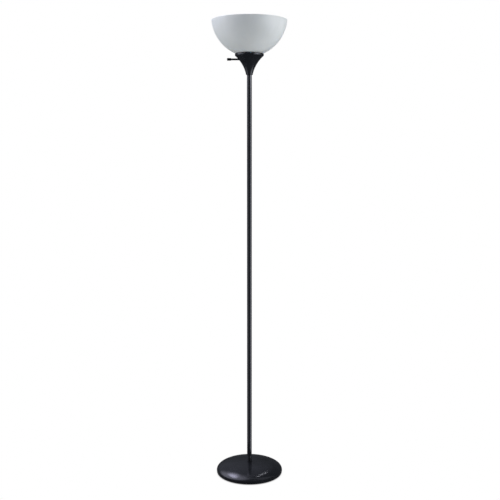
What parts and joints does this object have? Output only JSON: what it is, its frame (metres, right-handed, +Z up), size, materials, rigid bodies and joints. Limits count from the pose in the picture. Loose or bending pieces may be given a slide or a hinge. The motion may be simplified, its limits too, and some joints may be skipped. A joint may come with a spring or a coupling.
{
  "type": "torchiere floor lamp",
  "caption": "Torchiere floor lamp: domed weighted base, slim screw-together pole, trumpet holder with a side turn-knob switch, and an upward-facing white bowl shade.",
  "frame": {"origin": "on the floor, on the pole's axis, under the centre of the base", "axes": "+Z up along the pole; the switch knob points to -X; the mains lead's bushing is on the +Y side, so -Y is the front"},
  "size_m": [0.29, 0.29, 1.8],
  "materials": {
    "black_paint": "satin black powder paint with a slight blue cast",
    "black_plastic": "satin moulded plastic",
    "white_plastic": "satin translucent moulded plastic",
    "phenolic": "moulded phenolic, slightly grainy",
    "zinc_steel": "zinc-plated",
    "brass": "plain, stamped",
    "cement": "raw cast",
    "foam": "closed-cell foam",
    "lead_vinyl": "extruded vinyl",
    "core_white": "extruded vinyl",
    "rotor_plastic": "moulded nylon"
  },
  "bodies": {
    "lamp": {"base_cover": "black_paint", "pole_tube_1": "black_paint", "pole_tube_2": "black_paint", "pole_tube_3": "black_paint", "pole_tube_4": "black_paint", "base_weight": "cement", "base_plate": "zinc_steel", "base_washer": "zinc_steel", "base_lock_washer": "zinc_steel", "base_nut": "zinc_steel", "base_nipple": "zinc_steel", "pole_bush_bottom": "zinc_steel", "joint_sleeve_1": "zinc_steel", "joint_sleeve_2": "zinc_steel", "joint_sleeve_3": "zinc_steel", "joint_stud_1": "zinc_steel", "joint_stud_2": "zinc_steel", "joint_stud_3": "zinc_steel", "pole_bush_top": "zinc_steel", "top_nipple": "zinc_steel", "holder_washer": "zinc_steel", "holder_nut": "zinc_steel", "foot_pad_1": "foam", "foot_pad_2": "foam", "foot_pad_3": "foam", "foot_pad_4": "foam", "cord_bushing": "black_plastic", "shade_holder": "black_plastic", "shade_ring": "black_plastic", "socket_cap": "phenolic", "socket_body": "phenolic", "screw_shell": "brass", "contact_rivet": "brass", "contact_finger": "brass", "live_terminal": "brass", "neutral_terminal": "brass", "live_screw": "brass", "neutral_screw": "brass", "switch_wiper": "brass", "shade": "white_plastic", "lamp_lead": "lead_vinyl", "live_wire": "lead_vinyl", "neutral_wire": "core_white"},
    "switch": {"switch_knob": "black_plastic", "switch_shaft": "black_plastic", "switch_rotor": "rotor_plastic", "rotor_bridge": "brass"},
    "contact": {"centre_contact": "brass"}
  },
  "joints": [
    {"name": "switch_turn", "type": "hinge", "parent": "lamp", "child": "switch", "pos_m": [-0.05, 0, 1.654], "axis": [-1, 0, 0], "continuous": true},
    {"name": "contact_press", "type": "hinge", "parent": "lamp", "child": "contact", "pos_m": [0.0045, 0, 1.67255], "axis": [0, -1, 0], "range_deg": [0, 7], "stiffness_Nm_per_rad": 0.17}
  ]
}
